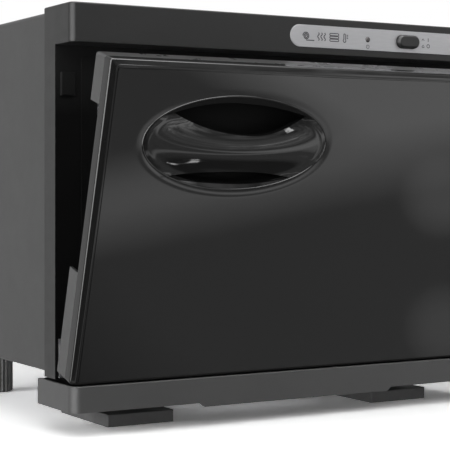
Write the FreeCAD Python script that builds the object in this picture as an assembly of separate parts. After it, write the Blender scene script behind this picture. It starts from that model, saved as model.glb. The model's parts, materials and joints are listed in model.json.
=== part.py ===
"""Hot towel cabinet: a small front-opening electric cabinet of about 23 litres.

The folded steel wrap carries an aluminium cavity with two wire racks. The glossy door turns on two pins
along its lower edge, and stands ajar at rest. A drip tray slides in the base under the door.

Row frame: X to the right seen from the front, Y to the back, Z up, floor at Z = 0, in millimetres.
Inside this file depth is counted from the front face of the top bar (depth 0), and add_node moves
each piece to the row frame.
"""

import FreeCAD
import Part
import math
import os

V = FreeCAD.Vector
BIG = 1000.0

# Cabinet
half_width = 225.0
top_z = 362.5
bar_bottom_z = 329.0
frame_back = 58.0
post_front = 32.0
frame_bottom_z = 46.0
frame_wall = 3.0
cabinet_back = 320.0
bar_front_in_row = -124.3

# Cavity
cavity_half_width = 187.0
cavity_bottom_z = 64.0
cavity_top_z = 306.0
cavity_corner_r = 10.0
liner_gap = 0.3
liner_sheet = 0.8
liner_back_at = 300.0

# Steel sheet
sheet = 1.2
wrap_half_width = 222.5
wrap_bottom_z = 49.5
wrap_top_z = 359.0
wrap_bend_r = 3.5
pan_z = wrap_bottom_z + sheet
fold = 12.0
rear_panel_front = cabinet_back - 2.0

# Door, drawn closed
door_bottom_z = 45.5
door_top_z = 321.5
door_wall = 2.5
door_seam = 12.0
door_back = 28.0
door_panel_front = 22.5
door_corner_r = 2.5
bevel_width = 5.0
bevel_depth = 1.6
groove_inset = 6.2
groove_width = 1.0
groove_depth = 0.6
lower_tab_top_z = 140.0
upper_tab_bottom_z = 282.0
hinge_depth = 5.0
hinge_z = 50.5
door_ajar_deg = 16.3

# Hinge
pin_r = 1.5
pin_clearance = 0.05
arm_x = 208.0
arm_thickness = 3.0
slot_width = 4.6
hinge_block_x = (198.0, 218.0)

# Door lining, drawn closed
panel_x = (-204.0, 204.0)
panel_z = (50.5, 317.5)
raised_x = (-170.0, 170.0)
raised_z = (84.0, 290.0)
raised_height = 1.2
panel_sheet = 1.5
gasket_x = (-199.0, 199.0)
gasket_z = (52.0, 317.0)
gasket_width = 7.5

# Oval pull in the door
pull_x = -98.5
pull_z = 254.5
pull_half_length = 89.75
pull_half_height = 41.0
pull_depth = 20.0

bar_centre_z = 246.0
bar_curve_r = 46.0
bar_thickness = 3.5
upper_gap_r = 121.0
upper_gap_x = pull_x + 11.0
upper_gap_bottom_z = 261.0
lower_gap_r = 300.0
lower_gap_x = pull_x + 8.0
lower_gap_top_z = 230.0

# Control plate on the top bar
plate_left = -9.0
plate_right = 200.0
plate_z = 345.5
plate_height = 20.2
lamp_x = 76.9
lamp_r = 2.4
button_x = 122.8
button_length = 24.8
button_height = 11.8
button_proud = 5.0
board_depth = 30.0
board_thickness = 1.6

# Drip tray
tray_front = -2.8
tray_back = 69.2
tray_bottom_z = 21.0
tray_top_z = 43.1
tray_corner_r = 9.0
tray_wall = 2.5
skirt_z = 17.5
tray_arm_x = 75.0

# Feet
front_foot_x = (108.5, 173.1)
front_foot_depth = (36.8, 135.0)
toe_height = 11.0
foot_pillar_front = 75.0
rear_foot_x = 168.0
rear_foot_depth = 297.0
rear_foot_r = 11.2
rib_r = 1.4
rib_count = 18

# Racks
rack_levels = {"lower": 135.0, "upper": 217.0}
rack_half_width = 182.0
rack_depth = (64.0, 286.0)
rack_frame_r = 2.0
rack_wire_r = 1.25
rack_wires = 23
rail_reach = 11.0
rail_sheet = 1.2

# Fasteners
board_screw_x = (57.0, 160.0)
frame_screw_x = (-120.0, 0.0, 120.0)
frame_screw_z = 57.0
bracket_screw_x = 216.0
bracket_screw_z = (60.0, 73.0)
rivet_depths = (90.0, 260.0)
door_screw_places = [(x, z) for x in (-185.0, 0.0, 185.0) for z in (64.5, 305.5)]
pan_screw_places = [(x, 59.0) for x in (-150.0, 0.0, 150.0)]
wrap_screw_places = [(x, z) for x in (-214.0, 214.0) for z in (120.0, 230.0, 340.0)]
wrap_screw_places += [(-70.0, 351.0), (70.0, 351.0)]
front_foot_screws = [(140.8, 92.0), (140.8, 120.0)]
rear_foot_screw = (rear_foot_x, rear_foot_depth)

# Mains inlet in the rear panel
inlet_x = 150.0
inlet_z = 92.0
inlet_screw_pitch = 40.0
inlet_pin_places = [(inlet_x - 7, inlet_z - 1.5), (inlet_x + 7, inlet_z - 1.5), (inlet_x, inlet_z + 2.5)]

nodes = {}


def add_node(name, shape, in_door=False):
    """Keep one piece under its node name, in the row frame. Door pieces are turned to the ajar position."""
    piece = shape.copy()
    if in_door:
        piece.rotate(V(0, hinge_depth, hinge_z), V(1, 0, 0), door_ajar_deg)
    piece.translate(V(0, bar_front_in_row, 0))
    nodes[name] = piece


def block(x, y, z):
    """A box from three (low, high) spans."""
    return Part.makeBox(x[1] - x[0], y[1] - y[0], z[1] - z[0], V(x[0], y[0], z[0]))


def rod(start, direction, radius, length):
    return Part.makeCylinder(radius, length, V(*start), V(*direction))


def flipped(span):
    return (-span[1], -span[0])


def mirrored(shape):
    """The same piece on the other side of the cabinet."""
    return shape.mirror(V(0, 0, 0), V(1, 0, 0))


def joined(shapes):
    first, rest = shapes[0], shapes[1:]
    return first.fuse(rest).removeSplitter() if rest else first


def group(shapes):
    """Separate solids that share one node."""
    return Part.makeCompound(shapes)


def polygon(points):
    corners = [V(u, v, 0) for u, v in points]
    return Part.Face(Part.makePolygon(corners + corners[:1]))


def rounded(u, v, radius):
    """Rectangle with rounded corners; a radius of half its height gives a stadium."""
    (u0, u1), (v0, v1) = u, v
    r = radius
    diagonal = r * (1.0 - math.sqrt(0.5))
    edges = []
    sides = [
        (V(u0 + r, v0, 0), V(u1 - r, v0, 0)),
        (V(u1, v0 + r, 0), V(u1, v1 - r, 0)),
        (V(u1 - r, v1, 0), V(u0 + r, v1, 0)),
        (V(u0, v1 - r, 0), V(u0, v0 + r, 0)),
    ]
    middles = [
        V(u1 - diagonal, v0 + diagonal, 0),
        V(u1 - diagonal, v1 - diagonal, 0),
        V(u0 + diagonal, v1 - diagonal, 0),
        V(u0 + diagonal, v0 + diagonal, 0),
    ]
    for index, (start, end) in enumerate(sides):
        if start.distanceToPoint(end) > 1e-6:
            edges.append(Part.makeLine(start, end))
        following = sides[(index + 1) % 4][0]
        edges.append(Part.Arc(end, middles[index], following).toShape())
    return Part.Face(Part.Wire(edges))


def stadium(u_centre, v_centre, length, height):
    u = (u_centre - length / 2, u_centre + length / 2)
    v = (v_centre - height / 2, v_centre + height / 2)
    return rounded(u, v, height / 2)


def disc(u, v, radius):
    return Part.Face(Part.Wire(Part.makeCircle(radius, V(u, v, 0))))


def oval(u, v, half_length, half_height):
    curve = Part.Ellipse(V(u, v, 0), half_length, half_height)
    return Part.Face(Part.Wire(curve.toShape()))


def prism(face, axis, low, high):
    """Extrude a face along a row axis. Its own axes become X,Y for Z, X,Z for Y, and Y,Z for X."""
    solid = face.extrude(V(0, 0, high - low))
    if axis == "Y":
        solid.translate(V(0, 0, -high))
        solid.rotate(V(0, 0, 0), V(1, 0, 0), 90)
        return solid
    solid.translate(V(0, 0, low))
    if axis == "X":
        solid.rotate(V(0, 0, 0), V(1, 1, 1), 120)
    return solid


def upright(face, depth):
    """The outline of a face, stood up across the cabinet at a depth."""
    outline = face.OuterWire.copy()
    outline.rotate(V(0, 0, 0), V(1, 0, 0), 90)
    outline.translate(V(0, depth, 0))
    return outline


def shrunk(span, margin):
    """A (low, high) span drawn in at both ends."""
    return (span[0] + margin, span[1] - margin)


def around(centre, reach):
    """The (low, high) span that reaches the same way to both sides of a centre."""
    return (centre - reach, centre + reach)


def edges_in(shape, x=(-BIG, BIG), y=(-BIG, BIG), z=(-BIG, BIG)):
    """The edges that lie wholly inside a box."""
    found = []
    for edge in shape.Edges:
        b = edge.BoundBox
        inside_x = x[0] <= b.XMin and b.XMax <= x[1]
        inside_y = y[0] <= b.YMin and b.YMax <= y[1]
        inside_z = z[0] <= b.ZMin and b.ZMax <= z[1]
        if inside_x and inside_y and inside_z:
            found.append(edge)
    return found


def screw(head, direction, head_r=3.0, shank_r=1.5, length=8.0, head_height=1.6):
    """Pan-head screw with a cross recess: head is the centre under it, direction leads into the work."""
    top = V(*head) - V(*direction) * head_height
    cap = rod(top, direction, head_r, head_height)
    shank = rod(head, direction, shank_r, length)
    piece = joined([cap, shank])
    across = head_r * 0.55
    for turn in (0, 90):
        slot = Part.makeBox(2 * across, 0.7, 0.8, V(-across, -0.35, -0.01))
        slot.rotate(V(0, 0, 0), V(0, 0, 1), turn)
        slot.Placement = FreeCAD.Placement(
            top, FreeCAD.Rotation(V(0, 0, 1), V(*direction))
        ).multiply(slot.Placement)
        piece = piece.cut(slot)
    return piece


def front_frame():
    """Moulded frame: a deep top bar over a ring around the cavity, pocketed from behind."""
    bar = prism(
        rounded((-half_width, half_width), (0, frame_back), 6.0), "Z", bar_bottom_z, top_z
    )
    ring = block((-half_width, half_width), (post_front, frame_back), (frame_bottom_z, top_z))
    frame = joined([bar, ring])
    back_edges = edges_in(frame, y=(frame_back - 0.01, frame_back + 0.01))
    frame = frame.makeChamfer(3.5, back_edges)
    rim_edges = edges_in(frame, y=(-0.01, frame_back - 3.4), z=(top_z - 0.01, top_z + 0.01))
    frame = frame.makeFillet(1.5, rim_edges)
    lower_edges = edges_in(frame, y=(-0.01, post_front - 0.1), z=(bar_bottom_z - 0.01, bar_bottom_z + 0.01))
    frame = frame.makeFillet(1.0, lower_edges)
    opening = prism(
        rounded(
            (-cavity_half_width, cavity_half_width), (cavity_bottom_z, cavity_top_z), cavity_corner_r
        ),
        "Y",
        post_front - 1,
        frame_back + 1,
    )
    pocket_front = post_front + frame_wall
    pocket_top = top_z - 4.0
    bar_pocket = block(
        (-214, 214), (frame_wall, frame_back + 1), (bar_bottom_z + frame_wall, pocket_top)
    )
    lintel_pocket = block(
        (-186, 186), (pocket_front, frame_back + 1), (cavity_top_z + frame_wall, pocket_top)
    )
    cuts = [opening, bar_pocket, lintel_pocket]
    post_x = (cavity_half_width + frame_wall, half_width - 3.5)
    for span in (post_x, flipped(post_x)):
        cuts.append(
            block(span, (pocket_front, frame_back + 1), (cavity_bottom_z + 2, cavity_top_z - 4))
        )
    for span in ((-180, -130), (-110, -10), (10, 110), (130, 180)):
        cuts.append(block(span, (pocket_front, frame_back + 1), (50, cavity_bottom_z - 3)))
    cuts.append(prism(plate_outline(), "Y", -1, 0.6))
    cuts.append(rod((lamp_x, -1, plate_z), (0, 1, 0), lamp_r + 0.3, 10))
    cuts.append(
        prism(stadium(button_x, plate_z, button_length + 1.6, button_height + 1.6), "Y", -1, 10)
    )
    frame = frame.cut(group(cuts))
    bosses = [rod((x, frame_wall - 0.5, plate_z), (0, 1, 0), 3.5, 27.5) for x in board_screw_x]
    frame = joined([frame] + bosses)
    pilot_holes = [rod((x, 18, plate_z), (0, 1, 0), 1.2, 20) for x in board_screw_x]
    pilot_holes += [rod((x, 40, frame_screw_z), (0, 1, 0), 1.5, 20) for x in frame_screw_x]
    for x in (-bracket_screw_x, bracket_screw_x):
        pilot_holes += [rod((x, post_front - 1, z), (0, 1, 0), 1.4, 8) for z in bracket_screw_z]
    return frame.cut(group(pilot_holes))


def plate_outline():
    middle = (plate_left + plate_right) / 2
    return stadium(middle, plate_z, plate_right - plate_left, plate_height)


def control_plate():
    plate = prism(plate_outline(), "Y", -0.4, 0.6)
    front_edges = edges_in(plate, y=(-0.41, -0.39))
    plate = plate.makeFillet(0.25, front_edges)
    lamp_hole = rod((lamp_x, -1, plate_z), (0, 1, 0), lamp_r + 0.2, 3)
    button_hole = prism(
        stadium(button_x, plate_z, button_length + 1.0, button_height + 1.0), "Y", -1, 2
    )
    return plate.cut(group([lamp_hole, button_hole]))


def power_lens():
    lens = rod((lamp_x, -1.4, plate_z), (0, 1, 0), lamp_r, 22.4)
    return lens.makeFillet(1.2, edges_in(lens, y=(-1.41, -1.39)))


def power_button():
    """Oval push button with a retaining flange behind the bar's front wall."""
    cap = prism(stadium(button_x, plate_z, button_length, button_height), "Y", -button_proud, 12)
    cap = cap.makeChamfer(1.5, edges_in(cap, y=(-button_proud - 0.01, -button_proud + 0.01)))
    flange = prism(stadium(button_x, plate_z, button_length + 5, button_height + 5), "Y", 3.4, 5.4)
    return joined([cap, flange])


def switch_plunger():
    return rod((button_x, 12, plate_z), (0, 1, 0), 3.0, 11)


def switch_module():
    """Push-push mains switch on the board, with the bore that guides its plunger."""
    body = block((button_x - 11, button_x + 11), (17, board_depth), (plate_z - 7, plate_z + 7))
    body = body.makeFillet(0.8, edges_in(body, y=(16.9, 17.1)))
    bore = rod((button_x, 16, plate_z), (0, 1, 0), 3.0 + pin_clearance, 13)
    return body.cut(bore)


def control_board():
    board = block(
        (50, 168), (board_depth, board_depth + board_thickness), (plate_z - 11.5, plate_z + 10.5)
    )
    holes = [rod((x, 20, plate_z), (0, 1, 0), 1.6, 20) for x in board_screw_x]
    return board.cut(group(holes))


def board_components():
    """Lamp, smoothing capacitor, relay and terminal block, each its own solid on the board."""
    back = board_depth + board_thickness
    lamp = rod((lamp_x, 21.6, plate_z), (0, 1, 0), 2.5, board_depth - 21.6)
    capacitor = rod((92, back, plate_z), (0, 1, 0), 4.0, 14)
    capacitor = capacitor.makeFillet(0.6, edges_in(capacitor, y=(back + 13.9, back + 14.1)))
    relay = block((100, 119), (back, back + 15), (plate_z - 8, plate_z + 8))
    terminals = block((128, 152), (back, back + 10), (plate_z - 9, plate_z - 1))
    return group([lamp, capacitor, relay, terminals])


def board_screws():
    head = board_depth + board_thickness
    return group([screw((x, head, plate_z), (0, -1, 0), 2.8, 1.2, 9) for x in board_screw_x])


def wrap_section(inset, radius):
    u = (-wrap_half_width + inset, wrap_half_width - inset)
    return rounded(u, (wrap_bottom_z + inset, wrap_top_z - inset), radius)


def outer_wrap():
    """One folded sheet: top, two sides, turned-in lower edges, and a rim for the rear panel."""
    outside = prism(wrap_section(0, wrap_bend_r), "Y", frame_back, cabinet_back)
    inside = prism(wrap_section(sheet, wrap_bend_r - sheet), "Y", frame_back - 1, cabinet_back + 1)
    wrap = outside.cut(inside)
    bottom_gap = wrap_half_width - 16
    wrap = wrap.cut(
        block((-bottom_gap, bottom_gap), (0, cabinet_back + 1), (wrap_bottom_z - 1, pan_z + 0.01))
    )
    rim_at = rear_panel_front - sheet
    rim = prism(wrap_section(sheet, wrap_bend_r - sheet), "Y", rim_at, rear_panel_front)
    rim = rim.cut(prism(wrap_section(sheet + fold, 1.0), "Y", 0, BIG))
    rim = rim.cut(block((-BIG, BIG), (0, BIG), (0, pan_z + sheet + fold + 2)))
    wrap = joined([wrap, rim])
    holes = [rod((x, rim_at - 1, z), (0, 1, 0), 1.3, 6) for x, z in wrap_screw_places]
    return wrap.cut(group(holes))


def bottom_pan():
    """Floor sheet on the wrap's turned-in edges, with a lip at each end."""
    half = wrap_half_width - wrap_bend_r
    floor = block((-half, half), (frame_back, rear_panel_front), (pan_z, pan_z + sheet))
    front_lip = block((-180, 180), (frame_back, frame_back + sheet), (pan_z, pan_z + 11))
    rear_lip = block((-half, half), (rear_panel_front - sheet, rear_panel_front), (pan_z, pan_z + fold + 1))
    pan = joined([floor, front_lip, rear_lip])
    holes = [rod((x, frame_back - 1, frame_screw_z), (0, 1, 0), 1.7, 4) for x in frame_screw_x]
    holes += [rod((x, y, pan_z - 1), (0, 0, 1), 2.2, 4) for x, y in foot_screw_places()]
    holes += [rod((x, rear_panel_front - 3, z), (0, 1, 0), 1.3, 6) for x, z in pan_screw_places]
    return pan.cut(group(holes))


def foot_screw_places():
    right = front_foot_screws + [rear_foot_screw]
    return right + [(-x, y) for x, y in right]


def rear_panel():
    half = wrap_half_width - sheet - 0.3
    z = (pan_z + sheet, wrap_top_z - sheet - 0.3)
    panel = block((-half, half), (rear_panel_front, rear_panel_front + sheet), z)
    cuts = []
    slot_pitch = 9.0
    for side in (-1, 1):
        for row in range(7):
            z = 286 + row * slot_pitch
            cuts.append(prism(stadium(side * 100, z, 70, 3.6), "Y", 300, 330))
    for row in range(4):
        z = 78 + row * slot_pitch
        cuts.append(prism(stadium(-100, z, 70, 3.6), "Y", 300, 330))
    cuts.append(prism(rounded(around(inlet_x, 14), around(inlet_z, 10.2), 2), "Y", 300, 330))
    for side in (-1, 1):
        cuts.append(rod((inlet_x + side * inlet_screw_pitch / 2, 300, inlet_z), (0, 1, 0), 1.7, 30))
    for x, z in pan_screw_places + wrap_screw_places:
        cuts.append(rod((x, 300, z), (0, 1, 0), 1.7, 30))
    return panel.cut(group(cuts))


def rear_panel_screws():
    head = rear_panel_front + sheet
    places = pan_screw_places + wrap_screw_places
    return group([screw((x, head, z), (0, -1, 0), 3.2, 1.3, 6) for x, z in places])


def power_inlet():
    """Three-pin appliance inlet with a screwed flange; its socket opens to the back."""
    face = rear_panel_front + sheet
    flange = prism(rounded(around(inlet_x, 25), around(inlet_z, 12), 4), "Y", face, face + 2.5)
    flange = flange.makeFillet(0.8, edges_in(flange, y=(face + 2.4, face + 2.6)))
    body = prism(rounded(around(inlet_x, 13.6), around(inlet_z, 9.9), 2), "Y", face - 16, face + 1)
    inlet = joined([flange, body])
    half_length, half_height, corner = 12.2, 8.2, 4.5
    socket = polygon(
        [
            (inlet_x - half_length, inlet_z - half_height),
            (inlet_x + half_length, inlet_z - half_height),
            (inlet_x + half_length, inlet_z + half_height - corner),
            (inlet_x + half_length - corner, inlet_z + half_height),
            (inlet_x - half_length + corner, inlet_z + half_height),
            (inlet_x - half_length, inlet_z + half_height - corner),
        ]
    )
    inlet = inlet.cut(prism(socket, "Y", face - 13.5, face + 5))
    holes = []
    for side in (-1, 1):
        holes.append(rod((inlet_x + side * inlet_screw_pitch / 2, face - 1, inlet_z), (0, 1, 0), 1.7, 6))
    for x, z in inlet_pin_places:
        holes.append(block((x - 1.0, x + 1.0), (face - 17, face - 10), (z - 2.0, z + 2.0)))
    return inlet.cut(group(holes))


def inlet_pins():
    face = rear_panel_front + sheet
    pins = []
    for x, z in inlet_pin_places:
        pin = block((x - 1.0, x + 1.0), (face - 17.8, face), (z - 2.0, z + 2.0))
        pins.append(pin.makeFillet(0.4, edges_in(pin, y=(face - 0.1, face + 0.1))))
    return group(pins)


def inlet_screws():
    face = rear_panel_front + sheet + 2.5
    places = [inlet_x + side * inlet_screw_pitch / 2 for side in (-1, 1)]
    return group([screw((x, face, inlet_z), (0, -1, 0), 2.8, 1.5, 7, 1.4) for x in places])


def liner_section(inset, radius):
    half = cavity_half_width - liner_gap - inset
    z = (cavity_bottom_z + liner_gap + inset, cavity_top_z - liner_gap - inset)
    return rounded((-half, half), z, radius)


def liner_wrap():
    """Aluminium lining of the cavity, with a wide front flange that the gasket presses on."""
    corner = cavity_corner_r - liner_gap
    tube = prism(liner_section(0, corner), "Y", post_front - liner_sheet, liner_back_at)
    flange_x = (-201, 201)
    flange = prism(rounded(flange_x, (50, 320), 4), "Y", post_front - liner_sheet, post_front)
    liner = joined([tube, flange])
    return liner.cut(prism(liner_section(liner_sheet, corner - liner_sheet), "Y", 0, BIG))


def liner_back():
    section = liner_section(0, cavity_corner_r - liner_gap)
    plate = prism(section, "Y", liner_back_at, liner_back_at + liner_sheet)
    dimples = []
    for x in (-120, -60, 0, 60, 120):
        dimples.append(prism(stadium(x, 185, 30, 8), "Y", liner_back_at - 1, liner_back_at + 0.4))
    return plate.cut(group(dimples))


def insulation():
    """Five glass-wool slabs around the cavity."""
    front = frame_back + 4
    side_x = (cavity_half_width + 0.5, wrap_half_width - sheet - 14)
    side = block(side_x, (front, liner_back_at), (cavity_bottom_z, cavity_top_z))
    side = side.makeFillet(3.0, side.Edges)
    top = block((-186, 186), (front, liner_back_at), (cavity_top_z + 0.5, cavity_top_z + 22))
    top = top.makeFillet(3.0, top.Edges)
    bottom = block((-186, 186), (front, liner_back_at), (pan_z + sheet + 2.2, cavity_bottom_z - 2.2))
    back = block((-186, 186), (liner_back_at + liner_sheet + 0.3, 311), (112, cavity_top_z))
    back = back.cut(block((-95, -20), (290, 320), (110, 180)))
    return {"left": mirrored(side), "right": side, "top": top, "bottom": bottom, "back": back}


def heater_pad():
    """Flat foil heater glued under the cavity floor."""
    under = cavity_bottom_z + liner_gap
    return prism(rounded((-150, 150), (90, 270), 8), "Z", under - 1.5, under)


def thermostat():
    """Snap-disc thermostat on the back of the cavity, in a gap in the insulation."""
    at = liner_back_at + liner_sheet
    flange = prism(stadium(-60, 150, 34, 14), "Y", at, at + 1)
    can = rod((-60, at, 150), (0, 1, 0), 8, 9)
    tabs = [block((x - 0.4, x + 0.4), (at + 8, at + 14), (147, 153)) for x in (-64, -56)]
    return joined([flange, can] + tabs)


def thermal_fuse():
    at = liner_back_at + liner_sheet
    saddle = block((-45, -25), (at, at + 1), (125, 133))
    barrel = rod((-43, at + 3, 129), (1, 0, 0), 2.4, 16)
    return joined([saddle, barrel])


def rail_profile(level):
    """Angle section: a web on the cavity wall, a ledge under the rack, and a small turned-up guide."""
    wall = cavity_half_width - liner_gap - liner_sheet
    top = level - rack_frame_r - 0.4
    edge = wall - rail_reach
    return polygon(
        [
            (wall, top - 12),
            (wall, top),
            (edge, top),
            (edge, top - rail_sheet),
            (wall - rail_sheet, top - rail_sheet),
            (wall - rail_sheet, top - 12),
        ]
    )


def rack_rail(level):
    """Right-hand ledge for one rack, with a stop turned up at its rear end."""
    wall = cavity_half_width - liner_gap - liner_sheet
    top = level - rack_frame_r - 0.4
    ledge = prism(rail_profile(level), "Y", rack_depth[0] + 4, rack_depth[1] + 6)
    stop = block((wall - rail_reach, wall), (rack_depth[1] + 4.8, rack_depth[1] + 6), (top - 0.5, top + 7))
    rail = joined([ledge, stop])
    return rail.cut(group(rail_rivet_holes(level)))


def rail_rivet_holes(level):
    z = level - rack_frame_r - 8.4
    return [rod((170, y, z), (1, 0, 0), 1.6, 30) for y in rivet_depths]


def rail_rivets():
    wall = cavity_half_width - liner_gap
    rivets = []
    for level in rack_levels.values():
        z = level - rack_frame_r - 8.4
        for y in rivet_depths:
            stem = rod((wall - liner_sheet - rail_sheet, y, z), (1, 0, 0), 1.5, rail_sheet)
            head = rod((wall - liner_sheet - rail_sheet - 0.9, y, z), (1, 0, 0), 2.8, 0.9)
            rivet = joined([stem, head])
            rivets += [rivet, mirrored(rivet)]
    return group(rivets)


def wire(start, end, radius):
    step = V(*end) - V(*start)
    return Part.makeCylinder(radius, step.Length, V(*start), step)


def wire_rack(level):
    """Wire shelf: a rod frame with rounded corners and closely spaced wires from front to back."""
    r = rack_frame_r
    bend = 9.0
    x = rack_half_width - r
    y0, y1 = rack_depth[0] + r, rack_depth[1] - r
    pieces = [
        wire((-x + bend, y0, level), (x - bend, y0, level), r),
        wire((-x + bend, y1, level), (x - bend, y1, level), r),
        wire((-x, y0 + bend, level), (-x, y1 - bend, level), r),
        wire((x, y0 + bend, level), (x, y1 - bend, level), r),
    ]
    left, right, front, back = -x + bend, x - bend, y0 + bend, y1 - bend
    for cx, cy, turn in ((right, back, 0), (left, back, 90), (left, front, 180), (right, front, 270)):
        corner = Part.makeTorus(bend, r, V(0, 0, 0), V(0, 0, 1), -180, 180, 90)
        corner.rotate(V(0, 0, 0), V(0, 0, 1), turn)
        corner.translate(V(cx, cy, level))
        pieces.append(corner)
    for y in (y0 + 60, y1 - 60):
        pieces.append(wire((-x, y, level), (x, y, level), r * 0.9))
    pitch = 2 * (x - bend) / (rack_wires + 1)
    for index in range(1, rack_wires + 1):
        at = -x + bend + index * pitch
        lift = level + r * 0.9
        pieces.append(wire((at, y0, lift), (at, y1, lift), rack_wire_r))
    return joined(pieces)


def hinge_bracket():
    """Right-hand steel bracket: a plate on the post's front face and an arm that holds the pin."""
    plate = block((203.5, 222), (post_front - 1.8, post_front), (47, 80))
    plate = plate.makeFillet(3.0, edges_in(plate, z=(79.9, 80.1), y=(0, 100), x=(203.4, 203.6)))
    back = post_front - 0.9
    arm_side = polygon(
        [
            (hinge_depth, hinge_z - 3),
            (back, hinge_z - 3),
            (back, hinge_z + 8),
            (back - 3, hinge_z + 3),
            (hinge_depth, hinge_z + 3),
        ]
    )
    low, high = arm_x - arm_thickness / 2, arm_x + arm_thickness / 2
    arm = joined([prism(arm_side, "X", low, high), prism(disc(hinge_depth, hinge_z, 3), "X", low, high)])
    bracket = joined([plate, arm])
    holes = [prism(disc(hinge_depth, hinge_z, pin_r), "X", low - 1, high + 1)]
    for z in bracket_screw_z:
        holes.append(rod((bracket_screw_x, 20, z), (0, 1, 0), 1.7, 30))
    return bracket.cut(group(holes))


def hinge_pins():
    pin = rod((hinge_block_x[0] + 0.5, hinge_depth, hinge_z), (1, 0, 0), pin_r, 19)
    return group([pin, mirrored(pin)])


def hinge_washers():
    washers = []
    for x in (arm_x - arm_thickness / 2 - 0.5, arm_x + arm_thickness / 2 + 0.1):
        ring = rod((x, hinge_depth, hinge_z), (1, 0, 0), 3.0, 0.4)
        ring = ring.cut(rod((x - 1, hinge_depth, hinge_z), (1, 0, 0), pin_r + 0.02, 3))
        washers += [ring, mirrored(ring)]
    return group(washers)


def hinge_screws():
    screws = []
    for z in bracket_screw_z:
        one = screw((bracket_screw_x, post_front - 1.8, z), (0, 1, 0), 2.8, 1.4, 4.6, 1.2)
        screws += [one, mirrored(one)]
    return group(screws)


def magnet_catches():
    catch = block((207.5, 220.5), (post_front - 3.2, post_front), (286, 306))
    catch = catch.makeFillet(0.8, edges_in(catch, y=(0, post_front - 3.1)))
    return group([catch, mirrored(catch)])


def front_foot():
    """Right-hand front foot: a pillar under the pan with a low toe that reaches under the tray."""
    y0, y1 = front_foot_depth
    pillar = [(y1, 0), (y1, pan_z), (foot_pillar_front, pan_z), (foot_pillar_front, toe_height)]
    side = polygon([(y0, toe_height), (y0, 0)] + pillar)
    foot = prism(side, "X", front_foot_x[0], front_foot_x[1])
    foot = foot.makeFillet(0.8, edges_in(foot, y=(y0 - 0.1, y0 + 0.1)))
    foot = foot.cut(block(shrunk(front_foot_x, 4), (foot_pillar_front + 4, y1 - 4), (8, pan_z + 1)))
    foot = joined([foot] + [rod((x, y, 7), (0, 0, 1), 6, pan_z - 7) for x, y in front_foot_screws])
    return foot.cut(group([rod((x, y, pan_z - 14), (0, 0, 1), 1.8, 20) for x, y in front_foot_screws]))


def rear_foot():
    """Right-hand rear foot: a ribbed rubber post."""
    post = rod((rear_foot_x, rear_foot_depth, 0), (0, 0, 1), rear_foot_r, pan_z)
    ribs = []
    for index in range(rib_count):
        angle = 2 * math.pi * index / rib_count
        x = rear_foot_x + rear_foot_r * math.cos(angle)
        y = rear_foot_depth + rear_foot_r * math.sin(angle)
        ribs.append(rod((x, y, 1.2), (0, 0, 1), rib_r, pan_z - 1.2))
    post = post.makeChamfer(1.0, edges_in(post, z=(-0.1, 0.1)))
    foot = joined([post] + ribs)
    return foot.cut(rod((rear_foot_x, rear_foot_depth, pan_z - 14), (0, 0, 1), 1.8, 20))


def foot_screws():
    head = pan_z + sheet
    return group([screw((x, y, head), (0, 0, -1), 3.6, 1.8, 12, 1.8) for x, y in foot_screw_places()])


def tray_runner():
    """Right-hand channel under the pan. It carries the tray's arm and stops its upturned end."""
    x0, x1 = tray_arm_x - 16, tray_arm_x + 16
    y = (80, 160)
    outside = block((x0, x1), y, (27, pan_z))
    inside = block((x0 + 2.5, x1 - 2.5), (70, 170), (29.5, pan_z - 2.5))
    slot = block((x0 + 7, x1 - 7), (70, 170), (26, 30))
    stop = block((x0 + 2, x1 - 2), (80, 82.5), (34.5, pan_z - 2))
    return joined([outside.cut(inside).cut(slot), stop])


def internal_leads():
    """Two mains leads from the inlet up the back and forward over the cavity to the board."""
    radius, bend = 1.4, 12.0
    top = 343.0
    back = 315.0
    leads = []
    for x in (inlet_x - 7, inlet_x):
        start, corner, end = V(x, back, 106), V(x, back, top), V(x, 44, top)
        before = corner - V(0, 0, bend)
        after = corner - V(0, bend, 0)
        middle = V(x, back - bend * (1 - math.sqrt(0.5)), top - bend * (1 - math.sqrt(0.5)))
        elbow = Part.Arc(before, middle, after).toShape()
        path = Part.Wire([Part.makeLine(start, before), elbow, Part.makeLine(after, end)])
        section = Part.Wire(Part.makeCircle(radius, start, V(0, 0, 1)))
        leads.append(path.makePipeShell([section], True, False))
    return group(leads)


def frame_screws():
    head = frame_back + sheet
    return group([screw((x, head, frame_screw_z), (0, -1, 0), 3.0, 1.5, 14) for x in frame_screw_x])


def pull_opening(margin, low, high):
    """The oval column that the pull takes from the door's layers."""
    face = oval(pull_x, pull_z, pull_half_length - margin, pull_half_height - margin)
    return prism(face, "Y", low, high)


def hinge_slots():
    """Gaps in the door's lower corners for the bracket arms, open to the back and underneath."""
    x = (arm_x - slot_width / 2, arm_x + slot_width / 2)
    y = (hinge_depth - 3.7, door_back + 5)
    z = (door_bottom_z - 1, hinge_z + 4)
    return [block(span, y, z) for span in (x, flipped(x))]


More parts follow.
